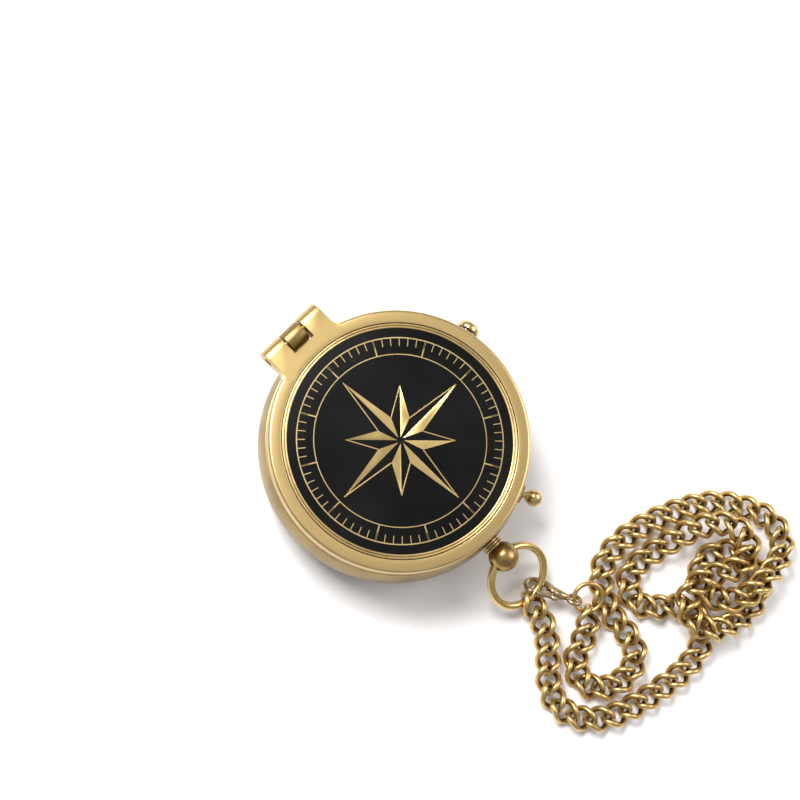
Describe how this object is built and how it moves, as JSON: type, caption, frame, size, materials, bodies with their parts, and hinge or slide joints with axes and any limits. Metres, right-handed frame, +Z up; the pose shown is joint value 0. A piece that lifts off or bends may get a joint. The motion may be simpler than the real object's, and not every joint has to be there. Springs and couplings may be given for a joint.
{
  "type": "pocket compass",
  "caption": "Round brass pocket compass with a hinged lid, push buttons on the rim, a bow, and a curb chain with a lobster clasp.",
  "frame": {"origin": "middle of the flat back, on which the closed compass lies", "axes": "+Z up through the lid, -Y towards the neck and bow, +Y towards the lid hinge"},
  "size_m": [0.0738, 0.1054, 0.018],
  "materials": {
    "case_brass": "satin, brown antique patina",
    "lid_brass": "satin, finely brushed, light antique patina",
    "bezel_brass": "polished ridges, dark in the groove",
    "pin_brass": "polished",
    "neck_brass": "antique, dark in the grooves",
    "collar_brass": "antique",
    "knob_brass": "polished, light patina",
    "bow_brass": "polished, worn",
    "chain_brass": "antique, dark in the links' crevices",
    "clasp_brass": "antique, greyer and duller than the chain",
    "inner_brass": "turned, bright",
    "black_inlay": "smooth, slightly glossy black",
    "dial_enamel": "matt cream, printed scale",
    "dial_glass": "clear",
    "needle_blue": "blued and painted steel",
    "jewel_ruby": "polished stone cup",
    "pivot_steel": "hardened, polished",
    "lifter_steel": "spring strip",
    "spring_steel": "spring steel"
  },
  "bodies": {
    "case": {"case_shell": "case_brass", "hinge_pin": "pin_brass", "bow_neck": "neck_brass", "neck_nut": "inner_brass", "release_bush": "collar_brass", "release_spring": "spring_steel", "brake_bush": "collar_brass", "brake_spring": "spring_steel", "dial_housing": "inner_brass", "dial": "dial_enamel", "pivot_post": "inner_brass", "pivot_pin": "pivot_steel", "glass": "dial_glass", "glass_bezel": "inner_brass", "lifter_bracket": "inner_brass", "lifter_pin": "pivot_steel"},
    "lid": {"lid_frame": "lid_brass", "lid_inlay": "black_inlay", "lid_bezel": "bezel_brass", "lid_keeper": "inner_brass"},
    "release": {"release_knob": "knob_brass", "catch_plate": "spring_steel"},
    "brake": {"brake_button": "knob_brass"},
    "lifter": {"lifter_arm": "lifter_steel"},
    "needle": {"needle_blade": "needle_blue", "needle_hub": "inner_brass", "needle_jewel": "jewel_ruby", "needle_weight": "inner_brass"},
    "bow": {"bow": "bow_brass"},
    "chain": {"chain_links_1": "chain_brass", "chain_links_2": "chain_brass", "chain_links_3": "chain_brass", "chain_links_4": "chain_brass", "end_ring": "chain_brass"},
    "clasp": {"clasp_body": "clasp_brass", "clasp_rivet": "clasp_brass", "clasp_spring": "spring_steel"},
    "clasp_gate": {"clasp_lever": "clasp_brass"}
  },
  "joints": [
    {"name": "lid_hinge", "type": "hinge", "parent": "case", "child": "lid", "pos_m": [0, 0.0279, 0.0158], "axis": [-1, 0, 0], "range_deg": [0, 105]},
    {"name": "release_push", "type": "slide", "parent": "case", "child": "release", "axis": [-0.4289, 0.9033, 0], "range_m": [0, 0.0008], "stiffness_N_per_m": 400, "springref_m": -0.0005, "deforming": ["release_spring"]},
    {"name": "brake_push", "type": "slide", "parent": "case", "child": "brake", "axis": [-0.9781, -0.2079, 0], "range_m": [0, 0.0008], "stiffness_N_per_m": 400, "springref_m": -0.0005, "deforming": ["brake_spring"]},
    {"name": "lifter_tilt", "type": "hinge", "parent": "case", "child": "lifter", "pos_m": [0.01418, 0.00301, 0.003], "axis": [-0.2079, 0.9781, 0], "range_deg": [0, 2.5]},
    {"name": "needle_spin", "type": "hinge", "parent": "case", "child": "needle", "pos_m": [0, 0, 0.009], "axis": [0, 0, 1], "continuous": true},
    {"name": "bow_swing", "type": "hinge", "parent": "case", "child": "bow", "pos_m": [0, -0.0297, 0.009], "axis": [-1, 0, 0], "range_deg": [0, 140]},
    {"name": "chain_level", "type": "hinge", "parent": "bow", "child": "chain", "pos_m": [-0.001, -0.03955, 0.00224], "axis": [0.9956, 0.0764, 0.0535], "range_deg": [0, 145]},
    {"name": "clasp_roll", "type": "hinge", "parent": "chain", "child": "clasp", "pos_m": [0.00501, -0.04588, 0.00336], "axis": [-0.4196, 0.8997, -0.1201], "range_deg": [0, 30]},
    {"name": "gate_swing", "type": "hinge", "parent": "clasp", "child": "clasp_gate", "pos_m": [0.00291, -0.04226, 0.00324], "axis": [0.605, 0.3758, 0.702], "range_deg": [-6, 0], "stiffness_Nm_per_rad": 0.001, "springref_deg": 17.19}
  ],
  "couplings": [
    {"joint": "lifter_tilt", "follows": "brake_push", "rad_per_m": 51.75},
    {"joint": "chain_level", "follows": "bow_swing", "ratio": 1},
    {"joint": "clasp_roll", "follows": "bow_swing", "ratio": 0.2}
  ]
}
